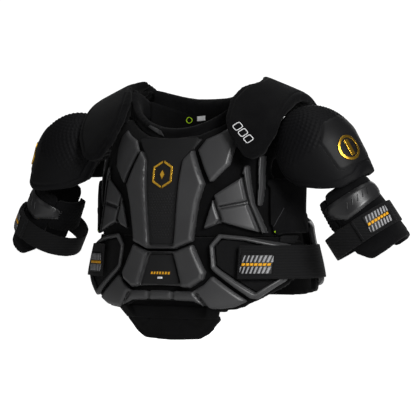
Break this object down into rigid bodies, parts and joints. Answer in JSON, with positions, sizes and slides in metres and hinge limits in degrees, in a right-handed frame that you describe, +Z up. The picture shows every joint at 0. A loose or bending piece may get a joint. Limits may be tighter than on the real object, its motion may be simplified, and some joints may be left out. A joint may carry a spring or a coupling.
{
  "type": "ice hockey shoulder pads",
  "caption": "Padded ice hockey shoulder-pad vest with moulded chest, rib and belly plates, collar, clavicle flaps, shoulder caps, strapped biceps guards and an abdomen flap.",
  "frame": {"origin": "middle of the neck opening, level with the top of the wearer's shoulders", "axes": "+X to the wearer's left arm, the chest faces -Y, +Z up towards the head"},
  "size_m": [0.7364, 0.2988, 0.4228],
  "materials": {
    "liner_fabric": "matt brushed polyester lining over soft foam",
    "shell_fabric": "fine black woven face over foam",
    "moulded_eva": "satin compression-moulded EVA foam",
    "pebbled_eva": "matt moulded EVA foam with a raised pattern",
    "gloss_plate": "smooth injection-moulded plate",
    "loop_fabric": "hook-and-loop landing fabric",
    "elastic": "woven black elastic webbing",
    "gold_badge": "bright gold metallised badge"
  },
  "bodies": {
    "vest_front": {"chest_liner": "liner_fabric", "belly_liner": "liner_fabric", "sternum_plate": "moulded_eva", "sternum_inlay": "pebbled_eva", "chest_badge": "gold_badge", "tail_plate": "moulded_eva", "tail_inlay": "pebbled_eva", "crescent_plate": "moulded_eva", "flap_band": "liner_fabric", "collar_front": "shell_fabric", "pec_plate_left": "moulded_eva", "pec_plate_right": "moulded_eva", "rib_plate_left": "moulded_eva", "rib_plate_right": "moulded_eva", "side_plate_left": "moulded_eva", "side_plate_right": "moulded_eva", "flank_pad_left": "shell_fabric", "flank_pad_right": "shell_fabric", "flank_tab_left": "elastic", "flank_tab_right": "elastic", "belly_wing_left": "moulded_eva", "belly_wing_right": "moulded_eva", "loop_panel_left": "loop_fabric", "loop_panel_right": "loop_fabric", "front_yoke_left": "liner_fabric", "front_yoke_right": "liner_fabric"},
    "vest_back": {"back_liner": "liner_fabric", "spine_plate": "moulded_eva", "collar_back": "shell_fabric", "scapula_plate_left": "moulded_eva", "scapula_plate_right": "moulded_eva", "kidney_plate_left": "moulded_eva", "kidney_plate_right": "moulded_eva", "rear_flap_left": "shell_fabric", "rear_flap_right": "shell_fabric", "back_yoke_left": "liner_fabric", "back_yoke_right": "liner_fabric"},
    "lower_flap": {"abdomen_flap": "shell_fabric"},
    "clavicle_left": {"clavicle_flap_left": "shell_fabric"},
    "cap_left": {"shoulder_cap_left": "pebbled_eva", "cap_lining_left": "liner_fabric", "cap_insert_left": "pebbled_eva", "cap_badge_left": "gold_badge"},
    "biceps_left": {"biceps_guard_left": "shell_fabric", "biceps_plate_left": "gloss_plate", "biceps_strap_left": "elastic", "arm_pad_left": "shell_fabric"},
    "arm_tab_left": {"strap_tab_left": "elastic"},
    "waist_left": {"waist_strap_left": "elastic"},
    "clavicle_right": {"clavicle_flap_right": "shell_fabric"},
    "cap_right": {"shoulder_cap_right": "pebbled_eva", "cap_lining_right": "liner_fabric", "cap_insert_right": "pebbled_eva", "cap_badge_right": "gold_badge"},
    "biceps_right": {"biceps_guard_right": "shell_fabric", "biceps_plate_right": "gloss_plate", "biceps_strap_right": "elastic", "arm_pad_right": "shell_fabric"},
    "arm_tab_right": {"strap_tab_right": "elastic"},
    "waist_right": {"waist_strap_right": "elastic"}
  },
  "joints": [
    {"name": "back_open", "type": "hinge", "parent": "vest_front", "child": "vest_back", "pos_m": [0, 0.004, 0.07], "axis": [1, 0, 0], "range_deg": [0, 10]},
    {"name": "abdomen_fold", "type": "hinge", "parent": "vest_front", "child": "lower_flap", "pos_m": [0, -0.1285, -0.31], "axis": [-1, 0, 0], "range_deg": [0, 70]},
    {"name": "clavicle_lift_left", "type": "hinge", "parent": "vest_front", "child": "clavicle_left", "pos_m": [0.098, -0.01, 0.066], "axis": [0, -0.9798, -0.2], "range_deg": [0, 40]},
    {"name": "shoulder_swing_left", "type": "hinge", "parent": "vest_front", "child": "cap_left", "pos_m": [0.205, -0.02, -0.01], "axis": [0, -1, 0], "range_deg": [0, 30], "stiffness_Nm_per_rad": 1},
    {"name": "biceps_bend_left", "type": "hinge", "parent": "cap_left", "child": "biceps_left", "pos_m": [0.26502, -0.02838, -0.11712], "axis": [0.8572, -0.1027, 0.5047], "range_deg": [-10, 10], "stiffness_Nm_per_rad": 3},
    {"name": "arm_tab_open_left", "type": "hinge", "parent": "biceps_left", "child": "arm_tab_left", "pos_m": [0.30692, -0.0764, -0.18513], "axis": [0.515, 0.1709, -0.84], "range_deg": [0, 60]},
    {"name": "waist_peel_left", "type": "hinge", "parent": "vest_back", "child": "waist_left", "pos_m": [0.169, 0.078, -0.23], "axis": [-0.2217, 0, 0.9751], "range_deg": [0, 25]},
    {"name": "clavicle_lift_right", "type": "hinge", "parent": "vest_front", "child": "clavicle_right", "pos_m": [-0.098, -0.01, 0.066], "axis": [0, 0.9798, 0.2], "range_deg": [0, 40]},
    {"name": "shoulder_swing_right", "type": "hinge", "parent": "vest_front", "child": "cap_right", "pos_m": [-0.205, -0.02, -0.01], "axis": [0, 1, 0], "range_deg": [0, 30], "stiffness_Nm_per_rad": 1},
    {"name": "biceps_bend_right", "type": "hinge", "parent": "cap_right", "child": "biceps_right", "pos_m": [-0.26502, -0.02838, -0.11712], "axis": [-0.8572, -0.1027, 0.5047], "range_deg": [-10, 10], "stiffness_Nm_per_rad": 3},
    {"name": "arm_tab_open_right", "type": "hinge", "parent": "biceps_right", "child": "arm_tab_right", "pos_m": [-0.30692, -0.0764, -0.18513], "axis": [0.515, -0.1709, 0.84], "range_deg": [0, 60]},
    {"name": "waist_peel_right", "type": "hinge", "parent": "vest_back", "child": "waist_right", "pos_m": [-0.169, 0.078, -0.23], "axis": [-0.2217, 0, -0.9751], "range_deg": [0, 25]}
  ],
  "couplings": [
    {"joint": "waist_peel_left", "follows": "back_open", "ratio": 2.5},
    {"joint": "waist_peel_right", "follows": "back_open", "ratio": 2.5}
  ]
}
